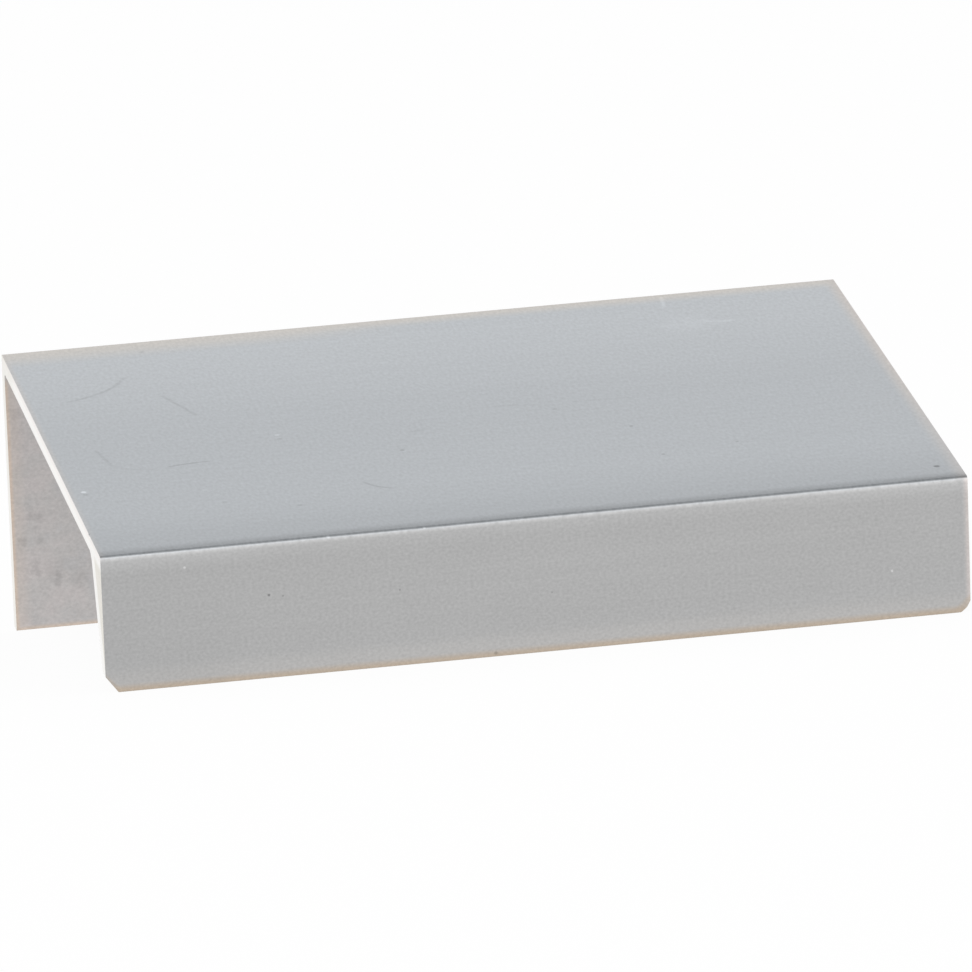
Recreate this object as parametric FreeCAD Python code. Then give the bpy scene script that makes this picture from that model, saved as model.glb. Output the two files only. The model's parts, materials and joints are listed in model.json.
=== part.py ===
import FreeCAD, Part
import math
import os

from FreeCAD import Vector

# Finger pull profile: one cut length of an extruded metal section, an uneven
# channel that hooks over the top edge of a furniture door. The tall rear flange
# goes behind the door and takes the screws, the top plate reaches over the edge
# to the front, and the short lip hangs down there for the fingers. The lip is a
# wedge, thick under the plate and thin at its lower edge.
# Millimetres. While it is shaped, X runs along the length, Y from the lip's
# outer face to the back, and Z up from the top plate's outer face.

# Driving dimensions
length = 64.0              # cut length of the profile
depth = 48.0               # lip's outer face to the rear flange's outer face
flange_height = 21.8       # top face to the rear flange's lower edge
lip_height = 10.5          # top face to the lip's lower edge
wall = 1.2                 # thickness of the top plate and the rear flange
lip_root = 4.5             # thickness of the lip under the top plate
lip_tip = 0.8              # thickness of the lip at its lower edge
outer_radius = 0.3         # the two outside corners of the section
heel_radius = 0.5          # inside corner at the rear flange
grip_radius = 1.0          # inside corner at the lip
edge_radius = 0.2          # long edges of the two legs' tips
lip_clip = 1.0             # clipped lower corners of the lip
hole_diameter = 4.0        # clearance for a wood screw's shank
sink_diameter = 5.4        # mouth of the countersink in the rear face
sink_angle = 90.0          # included angle of the countersink
hole_spacing = 32.0        # centre to centre, along the length
hole_rise = 9.0            # flange's lower edge to the hole centres
cut_margin = 1.0           # how far cutting tools stand past a face

along = Vector(1, 0, 0)
touching = 1e-6            # two shapes closer than this meet


def section_corners():
    """The section's sharp corners, as (y, z), from the lip's outer tip round to its inner tip."""
    return {
        "lip_outer_tip": (0.0, -lip_height),
        "front": (0.0, 0.0),
        "back": (depth, 0.0),
        "flange_outer_tip": (depth, -flange_height),
        "flange_inner_tip": (depth - wall, -flange_height),
        "heel": (depth - wall, -wall),
        "grip": (lip_root, -wall),
        "lip_inner_tip": (lip_tip, -lip_height),
    }


def extrusion():
    """The section pulled along the length, with its long edges rounded."""
    corners = section_corners()
    points = [Vector(0, y, z) for y, z in corners.values()]
    section = Part.Face(Part.makePolygon(points + points[:1]))
    bar = section.extrude(along * length)
    tips = [name for name in corners if name.endswith("tip")]
    roundings = ((outer_radius, ["front", "back"]), (heel_radius, ["heel"]),
                 (grip_radius, ["grip"]), (edge_radius, tips))
    for radius, names in roundings:
        bar = round_off(bar, radius, [corners[name] for name in names])
    return bar


def round_off(solid, radius, corners):
    """Fillet the long edges that stand on the given corners of the section."""
    middles = [Part.Vertex(length / 2, y, z) for y, z in corners]
    edges = [e for e in solid.Edges if any(e.distToShape(v)[0] < touching for v in middles)]
    return solid.makeFillet(radius, edges)


def lip_corner(end, inward):
    """A prism that clips the lip's lower corner at one end; inward points to the other end."""
    reach = lip_clip + 2 * cut_margin
    start = Vector(end - inward * cut_margin, -cut_margin, -lip_height - cut_margin)
    triangle = [start, start + Vector(inward * reach, 0, 0), start + Vector(0, 0, reach)]
    face = Part.Face(Part.makePolygon(triangle + triangle[:1]))
    return face.extrude(Vector(0, lip_root + 2 * cut_margin, 0))


def screw_hole(x):
    """A through hole in the rear flange with its countersink open to the back."""
    inwards = Vector(0, -1, 0)
    start = Vector(x, depth + cut_margin, hole_rise - flange_height)
    shank = Part.makeCylinder(hole_diameter / 2, wall + 2 * cut_margin, start, inwards)
    slope = math.tan(math.radians(sink_angle / 2))
    mouth = sink_diameter / 2
    sink = Part.makeCone(mouth + cut_margin * slope, 0, mouth / slope + cut_margin, start, inwards)
    return shank.fuse(sink)


def stand(solid):
    """Lean the profile onto its two unequal legs, with the floor at zero under its middle."""
    lean = math.atan2(flange_height - lip_height, depth - wall)
    solid.rotate(Vector(0, 0, 0), along, math.degrees(lean))
    box = solid.optimalBoundingBox(False)
    solid.translate(Vector(-box.Center.x, -box.Center.y, -box.ZMin))
    return solid


profile = extrusion()
for end, inward in ((0.0, 1), (length, -1)):
    profile = profile.cut(lip_corner(end, inward))
for side in (-1, 1):
    profile = profile.cut(screw_hole((length + side * hole_spacing) / 2))
profile = stand(profile.Solids[0])

os.makedirs("parts", exist_ok=True)
profile.exportStep("parts/pull_profile.step")

box = profile.optimalBoundingBox(False)
print("valid", profile.isValid(), "solids", len(profile.Solids), "faces", len(profile.Faces))
print("volume mm3", round(profile.Volume, 2))
print("box", [round(v, 3) for v in (box.XMin, box.YMin, box.ZMin, box.XMax, box.YMax, box.ZMax)])
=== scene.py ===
import bpy
import json
import math
from mathutils import Matrix, Vector


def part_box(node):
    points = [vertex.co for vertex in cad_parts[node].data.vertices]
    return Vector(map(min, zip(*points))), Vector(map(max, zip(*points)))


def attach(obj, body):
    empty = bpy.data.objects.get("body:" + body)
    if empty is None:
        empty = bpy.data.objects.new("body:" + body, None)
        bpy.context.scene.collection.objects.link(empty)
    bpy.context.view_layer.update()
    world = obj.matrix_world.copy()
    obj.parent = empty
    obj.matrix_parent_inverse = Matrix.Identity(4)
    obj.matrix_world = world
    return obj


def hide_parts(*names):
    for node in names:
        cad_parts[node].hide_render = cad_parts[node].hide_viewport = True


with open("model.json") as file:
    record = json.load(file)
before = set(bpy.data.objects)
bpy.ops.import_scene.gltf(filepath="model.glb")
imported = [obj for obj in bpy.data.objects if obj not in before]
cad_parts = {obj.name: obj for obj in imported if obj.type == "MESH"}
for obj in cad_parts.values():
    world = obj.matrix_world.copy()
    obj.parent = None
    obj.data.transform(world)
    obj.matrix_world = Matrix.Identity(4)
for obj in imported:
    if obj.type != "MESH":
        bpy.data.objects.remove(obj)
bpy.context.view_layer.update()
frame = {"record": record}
cadNode = "pull_profile"
lowCorner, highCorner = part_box(cadNode)
screwMount = next(m for m in frame["record"]["mounts"] if m["name"] == "door_screws")
lean = math.atan2(-screwMount["axis"][2], -screwMount["axis"][1])  # how far the pull leans on its legs
mmPerMetre = 1000
print("frame loaded, lean", round(math.degrees(lean), 2))

# The extruded section, in metres. While it is shaped, x runs from the left end, y from the
# lip's outer face to the back, and z up from the top face.
profile = {
    "length": highCorner.x - lowCorner.x,
    "depth": 0.048,
    "flangeHeight": 0.0218,
    "lipHeight": 0.0105,
    "wall": 0.0012,
    "lipRoot": 0.0045,         # lip's thickness under the plate
    "lipTip": 0.0008,          # and at its lower edge
    "outerRadius": 0.0003,
    "heelRadius": 0.0005,      # inside corner at the flange
    "gripRadius": 0.001,       # inside corner at the lip
    "tipRadius": 0.0002,
    "cornerSegments": 6,
    "tipSegments": 3,
    "weld": 0.000005,          # points nearer than this are joined
    "arris": 0.00004,          # broken edges at the cuts and holes
    "arrisSegments": 2,
    "nickAt": 0.00507,         # a small nick in the left end's top edge, from the front
    "nickSize": (0.00015, 0.0006, 0.00015),
}
# clipped lower corners of the lip, worn round at the right end: end, reach along the lip and up the end
lipClips = [
    ("left", 0.00096, 0.00132),
    ("right", 0.00050, 0.00093),
    ("right", 0.00075, 0.00067),
]
screws = {
    "spacing": screwMount["dims"]["pcd_mm"] / mmPerMetre,
    "holeRadius": screwMount["dims"]["hole_r_mm"] / mmPerMetre,
    "sinkRadius": 0.0027,
    "rise": 0.009,             # above the flange's lower edge
    "sides": 64,
}
# degrees: faces this close to level are joined, edges sharper than these are broken or stay crisp
angles = {"level": 1, "arris": 40, "crisp": 35}
flatWeight = 100               # how far wide faces rule the shading
squareCorner = 90.0
eighthTurn, quarterTurn = math.radians(45), math.radians(90)
facingDown = -0.9              # a normal's z below this
tiny = 1e-6                    # points nearer than this are in one place


def activeObject():
    return bpy.context.view_layer.objects.active


def editMesh(select):
    bpy.ops.object.mode_set(mode="EDIT")
    bpy.ops.mesh.select_mode(type=select)
    bpy.ops.mesh.select_all(action="DESELECT")


def pickEdges(obj, test):
    # edges whose two ends pass the test
    editMesh("EDGE")
    bpy.ops.object.mode_set(mode="OBJECT")
    for edge in obj.data.edges:
        edge.select = all(test(obj.data.vertices[i].co) for i in edge.vertices)
    bpy.ops.object.mode_set(mode="EDIT")


def pickFaces(obj, test):
    editMesh("FACE")
    bpy.ops.object.mode_set(mode="OBJECT")
    for face in obj.data.polygons:
        face.select = test(face.center, face.normal)
    bpy.ops.object.mode_set(mode="EDIT")


def sliceAcross(places):
    # cuts right through the mesh, square to the depth
    for place in places:
        bpy.ops.mesh.select_all(action="SELECT")
        bpy.ops.mesh.bisect(plane_co=(0, place, 0), plane_no=(0, 1, 0))


def addBlock(size, centre, turn=0.0):
    # a block of that size, turned about y
    bpy.ops.object.select_all(action="DESELECT")
    bpy.ops.mesh.primitive_cube_add(size=1, location=centre, rotation=(0, turn, 0))
    block = activeObject()
    block.scale = size
    bpy.ops.object.transform_apply(location=True, rotation=True, scale=True)
    return block


def cutAway(piece, cutter):
    cut = piece.modifiers.new("cut", "BOOLEAN")
    cut.operation = "DIFFERENCE"
    cut.solver = "EXACT"
    cut.object = cutter
    applyModifier(piece, cut)
    bpy.data.objects.remove(cutter, do_unlink=True)


def applyModifier(piece, modifier):
    bpy.context.view_layer.objects.active = piece
    bpy.ops.object.modifier_apply(modifier=modifier.name)


def addPlate():
    size = (profile["length"], profile["depth"], profile["wall"])
    plate = addBlock(size, (size[0] / 2, size[1] / 2, -size[2] / 2))
    plate.name = plate.data.name = "fingerPull"
    return plate


def drawLegs(pull):
    wall, depth, root = profile["wall"], profile["depth"], profile["lipRoot"]
    editMesh("FACE")
    sliceAcross([root, depth - wall])
    legs = ((0, root, profile["lipHeight"]), (depth - wall, depth, profile["flangeHeight"]))
    for front, back, height in legs:
        pickFaces(pull, lambda centre, normal: normal.z < facingDown and front < centre.y < back)
        bpy.ops.mesh.extrude_region_move(TRANSFORM_OT_translate={"value": (0, 0, wall - height)})
    lipFoot = -profile["lipHeight"]
    pickEdges(pull, lambda co: abs(co.y - root) < tiny and abs(co.z - lipFoot) < tiny)
    bpy.ops.transform.translate(value=(0, profile["lipTip"] - root, 0))  # makes the lip a wedge
    bpy.ops.mesh.select_all(action="SELECT")
    bpy.ops.mesh.dissolve_limited(angle_limit=math.radians(angles["level"]))
    bpy.ops.object.mode_set(mode="OBJECT")


def roundLongEdge(pull, corner, radius, segments, angle=squareCorner):
    setback = radius / math.tan(math.radians(angle / 2))
    pickEdges(pull, lambda co: abs(co.y - corner[0]) < tiny and abs(co.z - corner[1]) < tiny)
    bpy.ops.mesh.bevel(offset=setback, segments=segments, affect="EDGES", clamp_overlap=False)
    bpy.ops.object.mode_set(mode="OBJECT")


def roundLongEdges(pull):
    wall, depth, lipTip = profile["wall"], profile["depth"], profile["lipTip"]
    lipFoot, flangeFoot = -profile["lipHeight"], -profile["flangeHeight"]
    taper = math.degrees(math.atan2(profile["lipRoot"] - lipTip, profile["lipHeight"] - wall))
    corners, tips = profile["cornerSegments"], profile["tipSegments"]
    for y in (0, depth):
        roundLongEdge(pull, (y, 0), profile["outerRadius"], corners)
    roundLongEdge(pull, (depth - wall, -wall), profile["heelRadius"], corners)
    roundLongEdge(pull, (profile["lipRoot"], -wall), profile["gripRadius"], corners, squareCorner + taper)
    for tip in ((0, lipFoot), (depth, flangeFoot), (depth - wall, flangeFoot)):
        roundLongEdge(pull, tip, profile["tipRadius"], tips)
    roundLongEdge(pull, (lipTip, lipFoot), profile["tipRadius"], tips, squareCorner + taper)


def clipLipCorners(pull):
    ends = {"left": 0, "right": profile["length"]}
    diagonal = math.sqrt(2)
    for end, along, up in lipClips:
        block = addBlock((1, profile["lipRoot"] * 2, 1), (0, 0, 0), eighthTurn)   # stands on its corner
        block.scale = (along * diagonal, 1, up * diagonal)     # half the block reaches that far
        block.location = (ends[end], 0, -profile["lipHeight"])
        bpy.ops.object.transform_apply(location=True, rotation=True, scale=True)
        cutAway(pull, block)


def drillFlange(pull):
    wall, depth = profile["wall"], profile["depth"]
    over = wall                # how far the cutters stand past the faces
    height = screws["rise"] - profile["flangeHeight"]
    sinkDepth = screws["sinkRadius"] - screws["holeRadius"]    # a right-angled countersink
    for side in (-1, 1):
        x = (profile["length"] + side * screws["spacing"]) / 2
        bpy.ops.mesh.primitive_cylinder_add(
            vertices=screws["sides"], radius=screws["holeRadius"], depth=wall + 2 * over,
            location=(x, depth - wall / 2, height), rotation=(quarterTurn, 0, 0))
        cutAway(pull, activeObject())
        bpy.ops.mesh.primitive_cone_add(
            vertices=screws["sides"], radius1=screws["holeRadius"], radius2=screws["sinkRadius"] + over,
            depth=sinkDepth + over, location=(x, depth - (sinkDepth - over) / 2, height),
            rotation=(-quarterTurn, 0, 0))
        cutAway(pull, activeObject())


def weldClose(distance):
    # joins points that the cuts left almost on each other
    editMesh("VERT")
    bpy.ops.mesh.select_all(action="SELECT")
    bpy.ops.mesh.remove_doubles(threshold=distance)
    bpy.ops.mesh.dissolve_degenerate(threshold=distance)
    bpy.ops.object.mode_set(mode="OBJECT")


def breakEdges(pull):
    weldClose(profile["weld"])
    arris = pull.modifiers.new("arris", "BEVEL")
    arris.width = profile["arris"]
    arris.segments = profile["arrisSegments"]
    arris.use_clamp_overlap = False
    arris.limit_method = "ANGLE"
    arris.angle_limit = math.radians(angles["arris"])
    applyModifier(pull, arris)


def nickTopEdge(pull):
    block = addBlock(profile["nickSize"], (0, profile["nickAt"], 0), eighthTurn)
    cutAway(pull, block)
    weldClose(tiny)


def stand(pull):
    # lean it onto its two legs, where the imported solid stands
    bpy.ops.object.select_all(action="DESELECT")
    pull.select_set(True)
    bpy.context.view_layer.objects.active = pull
    pull.rotation_euler.x = lean
    bpy.ops.object.transform_apply(location=True, rotation=True, scale=True)
    low = [min(v.co[i] for v in pull.data.vertices) for i in range(3)]
    high = [max(v.co[i] for v in pull.data.vertices) for i in range(3)]
    shift = Vector((lowCorner[i] + highCorner[i] - low[i] - high[i]) / 2 for i in range(3))
    pull.location = shift
    bpy.ops.object.transform_apply(location=True, rotation=True, scale=True)
    return shift


def shadeFlats(pull):
    # smooth round the corners, with the wide faces kept flat
    bpy.ops.object.shade_smooth_by_angle(angle=math.radians(angles["crisp"]))
    weights = pull.modifiers.new("flats", "WEIGHTED_NORMAL")
    weights.keep_sharp = True
    weights.weight = flatWeight
    applyModifier(pull, weights)


pull = addPlate()
drawLegs(pull)
roundLongEdges(pull)
clipLipCorners(pull)
drillFlange(pull)
breakEdges(pull)
nickTopEdge(pull)
standShift = stand(pull)
shadeFlats(pull)
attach(pull, "root")
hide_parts(cadNode)
print("profile drawn, clipped and drilled:", len(pull.data.polygons), "faces")

# The finish, in millimetres on the same axes as the section. Colours are 0-255 as they read.
finish = {
    # the plate's tones are painted light over the metal's grey: paler and cooler than the legs, and paler to
    # the back
    "plateFront": (178, 182, 186),
    "plate": (187, 191, 195),
    "plateBack": (195, 199, 203),
    "backEdge": (209, 205, 200),
    "legs": (180, 180, 180),
    # painted highlights that make the ends of the plate and the lip paler
    "plateEnd": (205, 200, 196),
    "lipEnd": (207, 200, 197),
    "lipFoot": (186, 185, 184),
    # warm brown tone along the lip's lower edge and its clipped corners
    "warmEdge": (190, 176, 160),
    "rim": (209, 193, 179),
    "inside": (189, 186, 185),
    "insideWarm": (194, 189, 188),
    "insideCool": (187, 185, 185),
    "insideBlotch": (152, 148, 148),
    # the sawn ends: bare metal painted near white, partly a painted highlight; the third tone is painted
    # shade
    "sawn": (254, 253, 251),
    "sawnWarm": (252, 248, 245),
    "sawnShade": (238, 235, 228),
    "roughness": 0.42,
    "sawnRoughness": 0.55,
    "grainRough": 0.12,
    "mottleRough": 0.06,
    "grainDepth": 0.40,
    "mottleDepth": 0.06,
    "streakDepth": 0.07,
    "sawnGrain": 0.10,
    "edgeDark": 0.25,          # painted shade along the front edge, on the plate
    "edgeBright": 0.36,        # painted highlight just under it, on the lip
    "edgeGlow": 0.08,          # the softer part of that painted highlight, lower down
    "endGlow": 0.08,           # and more of that painted highlight towards the ends
    "highlightBreaks": (-0.45, 0.15),   # noise at which the painted highlight line is gone and whole
    "warmCloud": (-0.05, 0.2),     # the same for clouds on the flange's inner face
    "coolCloud": (0.0, -0.15),
    "leftWarmth": 0.14,        # more of the warm ones at the left end
    "bumpDistance": 0.00001,
    "bumpStrength": 0.25,
    "grainHeight": 0.5,
    "streakHeight": 0.8,
    "sawHeight": 1.5,
}
sectionMm = {key: profile[key] * mmPerMetre for key in (
    "length", "depth", "wall", "lipHeight", "lipRoot", "lipTip", "flangeHeight", "outerRadius")}
# where each tone shows, in millimetres: what it is measured by, where it is gone, where it is full
bands = {
    "onPlate": ("z", -sectionMm["outerRadius"], 0.0),
    "plateMiddle": ("y", 0.0, 10.0),
    "plateBack": ("y", 24.0, 45.0),
    "backEdge": ("fromBack", 2.4, 0.5),
    "backLeft": ("fromBack", 4.0, 1.5),
    "leftPart": ("x", 32.0, 18.0),
    "plateRight": ("fromRight", 1.2, 0.05),
    "plateLeft": ("x", 0.5, 0.1),
    "plateDeep": ("y", 4.0, 30.0),
    "innerFace": ("offInner", 0.15, 0.05),
    "underPlate": ("z", -sectionMm["wall"], -2 * sectionMm["wall"]),
    "leftCloud": ("x", 5.0, 0.5),
    "onLip": ("pastLip", 0.5, 0.0),
    "lipFoot": ("aboveLipFoot", 2.2, 0.8),
    "lipEdge": ("aboveLipFoot", 0.75, 0.15),
    "lipEnd": ("fromRight", 0.5, 0.0),
    "clipEdge": ("fromCorner", 1.7, 1.15),
    "flangeFoot": ("aboveFlangeFoot", 0.5, 0.05),
    "flangeRim": ("fromEnd", 0.5, 0.02),
    "flangeEnd": ("fromEnd", 1.5, 0.3),
    # painted shade and painted highlights along the front edge
    "darkBack": ("acrossEdge", 1.6, 0.3),
    "darkFront": ("acrossEdge", -0.1, 0.05),
    "darkTop": ("z", -0.5, -sectionMm["outerRadius"]),
    "frontFace": ("y", 0.5, sectionMm["outerRadius"]),
    "belowEdge": ("acrossEdge", 0.0, -0.12),
    "brightFoot": ("acrossEdge", -0.5, -0.15),
    "glowFoot": ("acrossEdge", -1.6, -0.2),
    "glowEnd": ("fromEnd", 18.0, 4.0),
    "sawn": ("fromEnd", 0.03, 0.005),
    "sawnTop": ("z", -0.7, -0.2),
    # painted shade on the sawn ends
    "sawnShadeOuter": ("intoLip", 1.3, 1.8),
    "sawnShadeUnder": ("z", -0.6, -1.4),
    "sawnShadeBack": ("y", 40.0, 45.0),
}
# how much of a tone shows where it is full
shares = {
    "backLeft": 0.65,
    "plateLeft": 0.4,
    "plateEndFront": 0.55,     # what is left of the painted highlight on the plate's ends at the front
    "clipEdge": 0.6,
    "flangeEnd": 0.25,
    "sawnShadeBack": 0.5,
}
noiseMiddle = 0.5
# noise: stretch along x, y and z, scale, detail
textures = {
    "grain": ((0.8, 0.4, 1.0), 5.0, 2.0),
    "mottle": ((1, 1, 1), 0.16, 3.0),
    "streak": ((0.015, 1.4, 1.4), 1.0, 3.0),
    "cloud": ((1, 1, 1), 0.45, 4.0),
    "highlightBreaks": ((1.6, 0.2, 0.2), 1.0, 4.0),
    "smudge": ((1, 1, 1), 0.7, 4.0),
    "sawLines": ((0.0, 0.4, 6.0), 1.0, 3.0),
}
ragged = {"marks": (3.0, 0.12), "blotches": (2.0, 0.8)}      # scale and reach of a mark's uneven outline
cores = {"scratch": 0.15, "speck": 0.4, "blotch": 0.2}      # share of a mark's reach at full strength
scratchRun = (1.15, 0.75)      # where a scratch has ended and where it is full, in half lengths
# scratches on the plate: start, middle, end, half width, how much lighter or darker
scratches = [
    ((2.93, 35.25), (5.81, 36.69), (8.12, 39.91), 0.26, -0.13),
    ((10.03, 34.98), (11.00, 32.29), (11.88, 29.63), 0.22, -0.12),
    ((3.40, 23.61), (3.72, 21.68), (4.03, 19.83), 0.20, -0.11),
    ((4.03, 19.83), (5.26, 18.73), (7.09, 18.11), 0.20, -0.05),
    ((7.90, 18.45), (9.56, 18.80), (11.22, 18.91), 0.16, -0.22),
    ((21.18, 11.34), (21.98, 9.95), (23.03, 9.18), 0.20, -0.17),
    ((26.50, 21.30), (27.07, 21.42), (27.70, 21.45), 0.25, -0.10),
    ((33.70, 25.42), (36.00, 25.00), (38.37, 24.29), 0.22, -0.05),
    ((39.20, 24.76), (41.80, 24.70), (44.45, 24.44), 0.22, -0.05),
    ((59.60, 0.30), (61.80, 0.36), (64.00, 0.30), 0.45, -0.11),
    ((50.52, 47.24), (50.40, 46.02), (50.30, 44.55), 0.22, 0.12),
    ((52.29, 41.34), (53.40, 40.30), (54.89, 40.50), 0.40, 0.09),
]
# specks: place, radius, how much lighter or darker
specks = [
    # the dark speck just in front of the bright one near the left end is a painted shadow of it
    ((16.92, 23.39, 0), 0.26, 0.26), ((1.09, 14.55, 0), 0.28, 0.45), ((1.12, 13.95, 0), 0.26, -0.18),
    ((51.8, 32.4, 0), 0.2, 0.12), ((16.73, 0.1, -0.1), 0.18, 0.3), ((23.79, 0.1, -0.1), 0.14, 0.3),
    ((25.24, 17.4, 0), 0.25, -0.3), ((9.75, 12.57, 0), 0.3, 0.07), ((10.73, 9.5, 0), 0.3, -0.09),
    ((15.89, 7.3, 0), 0.24, -0.16), ((10.34, 45.4, 0), 0.3, -0.12), ((8.05, 39.6, 0), 0.3, -0.1),
    ((42.53, 18.06, 0), 0.22, -0.26), ((49.37, 12.42, 0), 0.18, -0.2), ((43.61, 11.13, 0), 0.2, -0.28),
    ((37.84, 23.5, 0), 0.22, -0.2), ((62.3, 2.85, 0), 0.32, -0.5), ((6.12, 0, -1.38), 0.14, 0.45),
    ((58.19, 0, -6.74), 0.14, 0.45), ((2.29, 0, -1.35), 0.14, 0.12), ((12.21, 0, -4.08), 0.14, -0.45),
    ((13.23, 0, -4.26), 0.1, -0.3), ((21.81, 0, -4.64), 0.1, -0.3), ((32.98, 0, -5.89), 0.09, -0.2),
    ((28.69, 0, -10.17), 0.17, -0.3), ((16.95, 22.5, 0), 0.26, -0.15),
]
smudge = {
    "at": (51.0, 40.4, 0),
    "radius": 2.8,
    "lift": 0.07,
    "patches": (-0.4, 0.1),    # noise at which it is gone and whole
}
# darker blotches on the flange's inner face: place, radius, depth
blotches = [
    ((0.85, 46.8, -14.7), 0.55, 0.42), ((1.5, 46.8, -12.7), 0.55, 0.34), ((2.1, 46.8, -12.8), 0.5, 0.3),
    ((3.42, 46.8, -17.5), 0.5, 0.36), ((3.42, 46.8, -18.2), 0.5, 0.36), ((1.75, 46.8, -16.5), 0.5, 0.3),
    ((1.77, 46.8, -17.2), 0.5, 0.3), ((2.1, 46.8, -14.7), 0.5, 0.22), ((1.85, 46.8, -13.7), 0.5, 0.18),
    ((0.6, 46.8, -4.5), 0.7, 0.25), ((0.7, 46.8, -5.8), 0.7, 0.2), ((5.0, 46.8, -18.0), 1.2, 0.22),
    ((3.1, 46.8, -17.2), 1.3, 0.14),
]


def tone(rgb):
    # a colour as it reads, 0-255, to linear values by the sRGB curve
    def linear(c):
        c /= 255
        return c / 12.92 if c <= 0.04045 else ((c + 0.055) / 1.055) ** 2.4
    return (*[linear(c) for c in rgb], 1.0)


def plug(tree, value, socket):
    if isinstance(value, bpy.types.NodeSocket):
        tree.links.new(value, socket)
    else:
        socket.default_value = value


def calc(tree, operation, a, b=0.0):
    node = tree.nodes.new("ShaderNodeMath")
    node.operation = operation
    plug(tree, a, node.inputs[0])
    plug(tree, b, node.inputs[1])
    return node.outputs[0]


def addOn(tree, total, value, weight):
    return calc(tree, "ADD", calc(tree, "MULTIPLY", value, weight), total)


def steer(tree, operation, a, b, result="Vector"):
    node = tree.nodes.new("ShaderNodeVectorMath")
    node.operation = operation
    plug(tree, a, node.inputs[0])
    plug(tree, b, node.inputs[1])
    return node.outputs[result]


def scaled(tree, vector, factor):
    node = tree.nodes.new("ShaderNodeVectorMath")
    node.operation = "SCALE"
    plug(tree, vector, node.inputs[0])
    plug(tree, factor, node.inputs["Scale"])
    return node.outputs["Vector"]


def fade(tree, value, off, full):
    # 0 at one end, 1 at the other, smooth between
    node = tree.nodes.new("ShaderNodeMapRange")
    node.interpolation_type = "SMOOTHSTEP"
    plug(tree, value, node.inputs["Value"])
    node.inputs["From Min"].default_value = off
    node.inputs["From Max"].default_value = full
    return node.outputs["Result"]


def both(tree, *masks):
    result = masks[0]
    for mask in masks[1:]:
        result = calc(tree, "MULTIPLY", result, mask)
    return result


def blend(tree, amount, under, over):
    node = tree.nodes.new("ShaderNodeMix")
    node.data_type = "RGBA"
    plug(tree, amount, node.inputs["Factor"])
    plug(tree, under, node.inputs[6])      # 6, 7 and 2 are the sockets for colours
    plug(tree, over, node.inputs[7])
    return node.outputs[2]


def lay(tree, colour, name, mask):
    # one of the finish's tones over a colour
    return blend(tree, mask, colour, tone(finish[name]))


def texture(tree, place, name):
    # one of the noises, centred on zero
    stretch, scale, detail = textures[name]
    node = tree.nodes.new("ShaderNodeTexNoise")
    plug(tree, steer(tree, "MULTIPLY", place, stretch), node.inputs["Vector"])
    node.inputs["Scale"].default_value = scale
    node.inputs["Detail"].default_value = detail
    return calc(tree, "SUBTRACT", node.outputs["Fac"], noiseMiddle)


def wandering(tree, place, scale, reach):
    # places shifted about, so that a round mark gets a ragged outline
    node = tree.nodes.new("ShaderNodeTexNoise")
    tree.links.new(place, node.inputs["Vector"])
    node.inputs["Scale"].default_value = scale
    shift = steer(tree, "SUBTRACT", node.outputs["Color"], (noiseMiddle, noiseMiddle, noiseMiddle))
    return steer(tree, "ADD", place, scaled(tree, shift, reach))


def millimetres(tree):
    # Object coordinates turned back onto the section's own axes
    coords = tree.nodes.new("ShaderNodeTexCoord")
    mapping = tree.nodes.new("ShaderNodeMapping")
    back = Matrix.Rotation(-lean, 3, "X")
    mapping.inputs["Scale"].default_value = (mmPerMetre, mmPerMetre, mmPerMetre)
    mapping.inputs["Rotation"].default_value = (-lean, 0, 0)
    mapping.inputs["Location"].default_value = back @ (standShift * -mmPerMetre)
    tree.links.new(coords.outputs["Object"], mapping.inputs["Vector"])
    return mapping.outputs["Vector"]


def measure(tree, place):
    # where a point lies on the section, and how far it is from the edges
    split = tree.nodes.new("ShaderNodeSeparateXYZ")
    tree.links.new(place, split.inputs[0])
    x, y, z = split.outputs
    mm = sectionMm
    slope = (mm["lipRoot"] - mm["lipTip"]) / (mm["lipHeight"] - mm["wall"])
    wedgeFace = addOn(tree, mm["lipRoot"] + slope * mm["wall"], z, slope)
    fromRight = calc(tree, "SUBTRACT", mm["length"], x)
    fromEnd = calc(tree, "MINIMUM", x, fromRight)
    aboveLipFoot = calc(tree, "ADD", z, mm["lipHeight"])
    return {
        "x": x,
        "y": y,
        "z": z,
        "fromBack": calc(tree, "SUBTRACT", mm["depth"], y),
        "fromRight": fromRight,
        "fromEnd": fromEnd,
        "offInner": calc(tree, "ABSOLUTE", calc(tree, "SUBTRACT", y, mm["depth"] - mm["wall"])),
        "pastLip": calc(tree, "SUBTRACT", y, mm["lipRoot"]),
        "intoLip": calc(tree, "SUBTRACT", wedgeFace, y),
        "aboveLipFoot": aboveLipFoot,
        "aboveFlangeFoot": calc(tree, "ADD", z, mm["flangeHeight"]),
        "fromCorner": calc(tree, "ADD", fromEnd, aboveLipFoot),
        "acrossEdge": calc(tree, "ADD", y, z),
    }


def band(tree, at, name):
    along, off, full = bands[name]
    return fade(tree, at[along], off, full)


def circleThrough(start, middle, end):
    # centre and radius of the circle through three points
    (ax, ay), (bx, by), (cx, cy) = start, middle, end
    d = 2 * (ax * (by - cy) + bx * (cy - ay) + cx * (ay - by)) or tiny
    a2, b2, c2 = ax * ax + ay * ay, bx * bx + by * by, cx * cx + cy * cy
    centre = Vector(((a2 * (by - cy) + b2 * (cy - ay) + c2 * (ay - by)) / d,
                     (a2 * (cx - bx) + b2 * (ax - cx) + c2 * (bx - ax)) / d, 0))
    return centre, (centre - Vector((ax, ay, 0))).length


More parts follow.
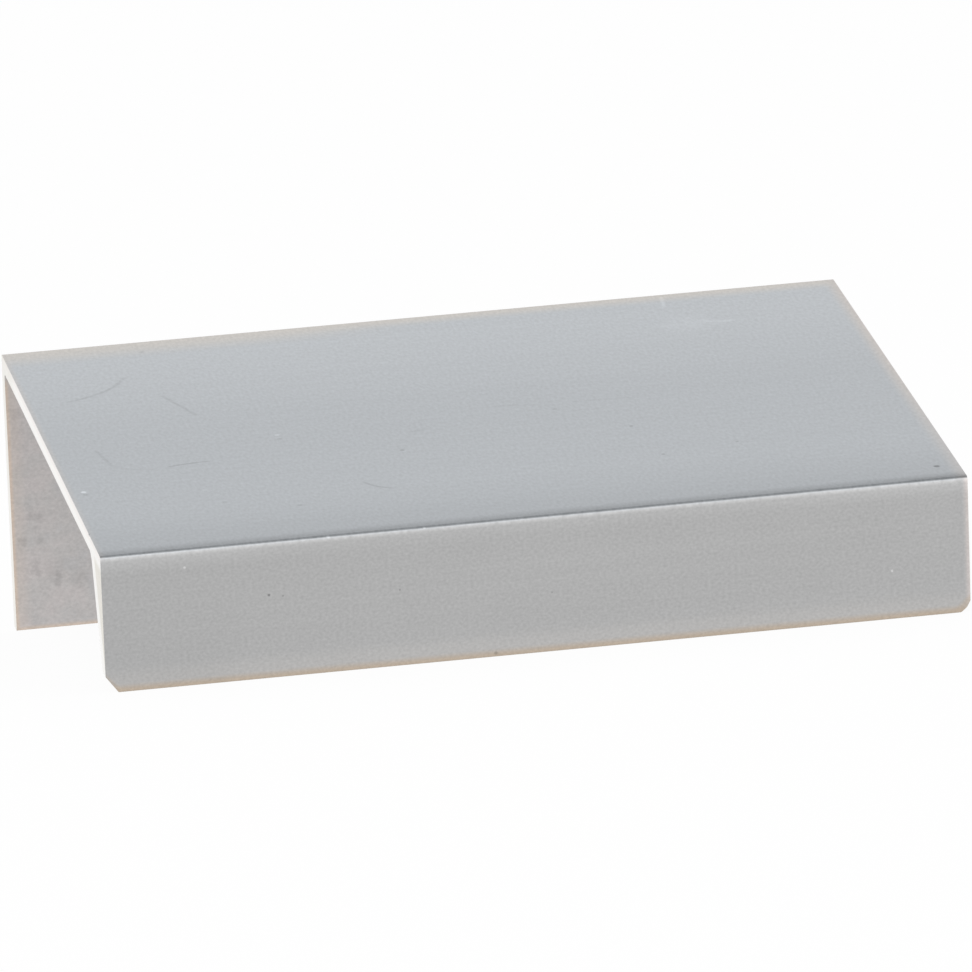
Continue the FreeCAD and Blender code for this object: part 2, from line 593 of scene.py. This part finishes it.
def scratchMarks(tree, flat):
    # each is a run of a circle, fading out at both ends
    total = 0.0
    for start, middle, end, halfWidth, change in scratches:
        centre, radius = circleThrough(start, middle, end)
        reach = (Vector(end) - Vector(start)).length / 2
        off = calc(tree, "SUBTRACT", steer(tree, "DISTANCE", flat, tuple(centre), "Value"), radius)
        line = fade(tree, calc(tree, "ABSOLUTE", off), halfWidth, halfWidth * cores["scratch"])
        fromMiddle = steer(tree, "DISTANCE", flat, (*middle, 0), "Value")
        run = fade(tree, fromMiddle, *[reach * share for share in scratchRun])
        total = addOn(tree, total, both(tree, line, run), change)
    return total


def roundMarks(tree, place, marks, core):
    total = 0.0
    for centre, radius, change in marks:
        spot = fade(tree, steer(tree, "DISTANCE", place, centre, "Value"), radius, radius * core)
        total = addOn(tree, total, spot, change)
    return total


def plateColour(tree, at):
    # painted light: paler to the back, with a warm back edge that is wider at the left
    colour = blend(tree, band(tree, at, "plateMiddle"), tone(finish["plateFront"]), tone(finish["plate"]))
    colour = lay(tree, colour, "plateBack", band(tree, at, "plateBack"))
    colour = lay(tree, colour, "backEdge", band(tree, at, "backEdge"))
    backLeft = both(tree, band(tree, at, "backLeft"), band(tree, at, "leftPart"), shares["backLeft"])
    return lay(tree, colour, "backEdge", backLeft)


def dullInside(tree, at, place, inside, colour):
    # the flange's inner face, with warm and cool clouds and darker blotches
    cloud = addOn(tree, texture(tree, place, "cloud"), band(tree, at, "leftCloud"), finish["leftWarmth"])
    colour = lay(tree, colour, "inside", inside)
    colour = lay(tree, colour, "insideWarm", both(tree, inside, fade(tree, cloud, *finish["warmCloud"])))
    colour = lay(tree, colour, "insideCool", both(tree, inside, fade(tree, cloud, *finish["coolCloud"])))
    blotched = roundMarks(tree, wandering(tree, place, *ragged["blotches"]), blotches, cores["blotch"])
    return lay(tree, colour, "insideBlotch", both(tree, inside, blotched))


def edgeTonesAndLitEnds(tree, at, onPlate, inside, colour):
    # warm brown along the lip's lower edge, paler on the flange's rim; painted highlights make the ends of
    # the plate and the lip paler
    onLip = band(tree, at, "onLip")
    offPlate = fade(tree, onPlate, 1.0, 0.0)
    colour = lay(tree, colour, "lipFoot", both(tree, band(tree, at, "lipFoot"), onLip))
    colour = lay(tree, colour, "lipEnd", both(tree, band(tree, at, "lipEnd"), onLip, offPlate))
    colour = lay(tree, colour, "warmEdge", both(tree, band(tree, at, "lipEdge"), onLip))
    colour = lay(tree, colour, "warmEdge", both(tree, band(tree, at, "clipEdge"), onLip, shares["clipEdge"]))
    flangeRim = both(tree, inside, band(tree, at, "flangeRim"))
    flangeEnd = both(tree, inside, band(tree, at, "flangeEnd"), shares["flangeEnd"])
    rim = calc(tree, "MAXIMUM", band(tree, at, "flangeFoot"), flangeRim)
    colour = lay(tree, colour, "rim", calc(tree, "MAXIMUM", rim, flangeEnd))
    plateLeft = both(tree, band(tree, at, "plateLeft"), shares["plateLeft"])
    plateEnd = calc(tree, "MAXIMUM", band(tree, at, "plateRight"), plateLeft)
    atFront = shares["plateEndFront"]
    weaker = addOn(tree, atFront, band(tree, at, "plateDeep"), 1 - atFront)
    return lay(tree, colour, "plateEnd", both(tree, plateEnd, onPlate, weaker))


def frontEdgeShadeAndHighlight(tree, at, place):
    # painted shade as a dark line on the plate over a painted highlight on the lip, broken here and there
    dark = both(tree, *[band(tree, at, name) for name in ("darkBack", "darkFront", "darkTop")])
    below = both(tree, band(tree, at, "belowEdge"), band(tree, at, "frontFace"))
    highlightBreaks = fade(tree, texture(tree, place, "highlightBreaks"), *finish["highlightBreaks"])
    bright = both(tree, below, band(tree, at, "brightFoot"), highlightBreaks)
    glow = both(tree, below, band(tree, at, "glowFoot"))
    endGlow = both(tree, glow, band(tree, at, "glowEnd"))
    return [(dark, -finish["edgeDark"]), (bright, finish["edgeBright"]),
            (glow, finish["edgeGlow"]), (endGlow, finish["endGlow"])]


def markLayers(tree, place, onPlate):
    # scratches, specks and the smudge
    uneven = wandering(tree, place, *ragged["marks"])
    flat = steer(tree, "MULTIPLY", uneven, (1, 1, 0))
    scratched = both(tree, onPlate, scratchMarks(tree, flat))
    specked = roundMarks(tree, uneven, specks, cores["speck"])
    near = fade(tree, steer(tree, "DISTANCE", place, smudge["at"], "Value"), smudge["radius"], 0.0)
    smudged = both(tree, near, fade(tree, texture(tree, place, "smudge"), *smudge["patches"]))
    return [(scratched, 1.0), (specked, 1.0), (smudged, smudge["lift"])]   # each mark has its own strength


def sawnColour(tree, at, sawLines):
    # bright bare metal, partly a painted highlight, with painted shade over the lip's outer half and towards
    # the back
    colour = blend(tree, band(tree, at, "sawnTop"), tone(finish["sawn"]), tone(finish["sawnWarm"]))
    lipShade = both(tree, band(tree, at, "sawnShadeOuter"), band(tree, at, "sawnShadeUnder"))
    backShade = both(tree, band(tree, at, "sawnShadeBack"), shares["sawnShadeBack"])
    colour = lay(tree, colour, "sawnShade", calc(tree, "MAXIMUM", lipShade, backShade))
    return scaled(tree, colour, addOn(tree, 1.0, sawLines, finish["sawnGrain"]))


def satinAluminium():
    mat = bpy.data.materials.new("satinAluminium")
    mat.use_nodes = True
    tree = mat.node_tree
    shader = tree.nodes["Principled BSDF"]
    place = millimetres(tree)
    at = measure(tree, place)
    grain, mottle, streak, sawLines = [
        texture(tree, place, name) for name in ("grain", "mottle", "streak", "sawLines")]
    onPlate = band(tree, at, "onPlate")
    inside = both(tree, band(tree, at, "innerFace"), band(tree, at, "underPlate"))
    sawn = band(tree, at, "sawn")

    colour = blend(tree, onPlate, tone(finish["legs"]), plateColour(tree, at))
    colour = dullInside(tree, at, place, inside, colour)
    colour = edgeTonesAndLitEnds(tree, at, onPlate, inside, colour)
    layers = [(grain, finish["grainDepth"]), (mottle, finish["mottleDepth"]),
              (streak, finish["streakDepth"])]
    layers += frontEdgeShadeAndHighlight(tree, at, place) + markLayers(tree, place, onPlate)
    light = 1.0
    for layer, depth in layers:
        light = addOn(tree, light, layer, depth)
    colour = blend(tree, sawn, scaled(tree, colour, light), sawnColour(tree, at, sawLines))
    tree.links.new(colour, shader.inputs["Base Color"])

    rough = addOn(tree, finish["roughness"], grain, finish["grainRough"])
    rough = addOn(tree, rough, mottle, finish["mottleRough"])
    rough = addOn(tree, rough, sawn, finish["sawnRoughness"] - finish["roughness"])
    tree.links.new(rough, shader.inputs["Roughness"])
    shader.inputs["Metallic"].default_value = 1.0

    height = calc(tree, "MULTIPLY", grain, finish["grainHeight"])
    height = addOn(tree, height, streak, finish["streakHeight"])
    height = addOn(tree, height, both(tree, sawn, sawLines), finish["sawHeight"])
    bump = tree.nodes.new("ShaderNodeBump")
    bump.inputs["Strength"].default_value = finish["bumpStrength"]
    bump.inputs["Distance"].default_value = finish["bumpDistance"]
    tree.links.new(height, bump.inputs["Height"])
    tree.links.new(bump.outputs["Normal"], shader.inputs["Normal"])
    print("satin aluminium:", len(tree.nodes), "nodes")
    return mat


pull.data.materials.clear()
pull.data.materials.append(satinAluminium())

floorSettings = {"size": 6.0, "colour": (0.92, 0.92, 0.92, 1), "whiteShare": 0.95}


def seenRays(tree):
    # 1 for rays from the camera, a mirror or glass
    path = tree.nodes.new("ShaderNodeLightPath")
    seen = calc(tree, "MAXIMUM", path.outputs["Is Camera Ray"], path.outputs["Is Glossy Ray"])
    return calc(tree, "MAXIMUM", seen, path.outputs["Is Transmission Ray"])


def addFloor():
    bpy.ops.object.select_all(action="DESELECT")
    bpy.ops.mesh.primitive_plane_add(size=floorSettings["size"])
    floor = activeObject()
    floor.name = "floor"
    mat = bpy.data.materials.new("paleFloor")
    mat.use_nodes = True
    tree = mat.node_tree
    tree.nodes.clear()
    output = tree.nodes.new("ShaderNodeOutputMaterial")
    matte = tree.nodes.new("ShaderNodeBsdfDiffuse")
    matte.inputs["Color"].default_value = floorSettings["colour"]
    white = tree.nodes.new("ShaderNodeEmission")
    mix = tree.nodes.new("ShaderNodeMixShader")
    tree.links.new(calc(tree, "MULTIPLY", seenRays(tree), floorSettings["whiteShare"]), mix.inputs[0])
    tree.links.new(matte.outputs[0], mix.inputs[1])
    tree.links.new(white.outputs[0], mix.inputs[2])
    tree.links.new(mix.outputs[0], output.inputs["Surface"])
    floor.data.materials.append(mat)


studio = {
    "zenith": 0.62,            # the room is darker overhead
    "horizon": 1.0,
    "overhead": (0.6, 1.0),    # how far up that starts and is full
    "lamps": [                 # name, place, size, power
        ("frontSoftbox", (-0.30, -0.70, 0.75), 0.5, 1.6),
    ],
}


def lightStudio():
    world = bpy.data.worlds.new("studio")
    bpy.context.scene.world = world
    world.use_nodes = True
    tree = world.node_tree
    background = tree.nodes["Background"]
    coords = tree.nodes.new("ShaderNodeTexCoord")
    split = tree.nodes.new("ShaderNodeSeparateXYZ")
    tree.links.new(coords.outputs["Generated"], split.inputs[0])
    upward = fade(tree, split.outputs[2], *studio["overhead"])
    room = addOn(tree, studio["horizon"], upward, studio["zenith"] - studio["horizon"])
    path = tree.nodes.new("ShaderNodeLightPath")
    tree.links.new(calc(tree, "MAXIMUM", room, path.outputs["Is Camera Ray"]), background.inputs["Strength"])
    background.inputs["Color"].default_value = (1, 1, 1, 1)
    for name, place, size, power in studio["lamps"]:
        bpy.ops.object.light_add(type="AREA", location=place)
        lamp = activeObject()
        lamp.name = name
        lamp.data.size = size
        lamp.data.energy = power
        lamp.visible_camera = False
        lamp.rotation_euler = (-Vector(place)).to_track_quat("-Z", "Y").to_euler()


cameraSettings = {
    "lens": 510.8,
    "sensor": 36,
    "heading": 9.263,
    "elevation": 5.617,
    "roll": -4.390,
    "distance": 1.02461,
    "lookAt": (0.000737, 0.0, 0.010137),
    "clipEnd": 20,
}


def addCamera():
    bpy.ops.object.camera_add()
    cam = activeObject()
    cam.data.lens = cameraSettings["lens"]
    cam.data.sensor_width = cameraSettings["sensor"]
    heading, elevation, roll = [
        math.radians(cameraSettings[key]) for key in ("heading", "elevation", "roll")]
    forward = Vector((math.sin(heading) * math.cos(elevation), math.cos(heading) * math.cos(elevation),
                      -math.sin(elevation)))
    cam.location = Vector(cameraSettings["lookAt"]) - forward * cameraSettings["distance"]
    level = forward.to_track_quat("-Z", "Y").to_matrix()
    cam.rotation_euler = (level @ Matrix.Rotation(roll, 3, "Z")).to_euler()
    cam.data.clip_end = cameraSettings["clipEnd"]
    bpy.context.scene.camera = cam


addFloor()
lightStudio()
addCamera()
bpy.context.scene.view_settings.view_transform = "Standard"
print("floor, lamps and camera set")
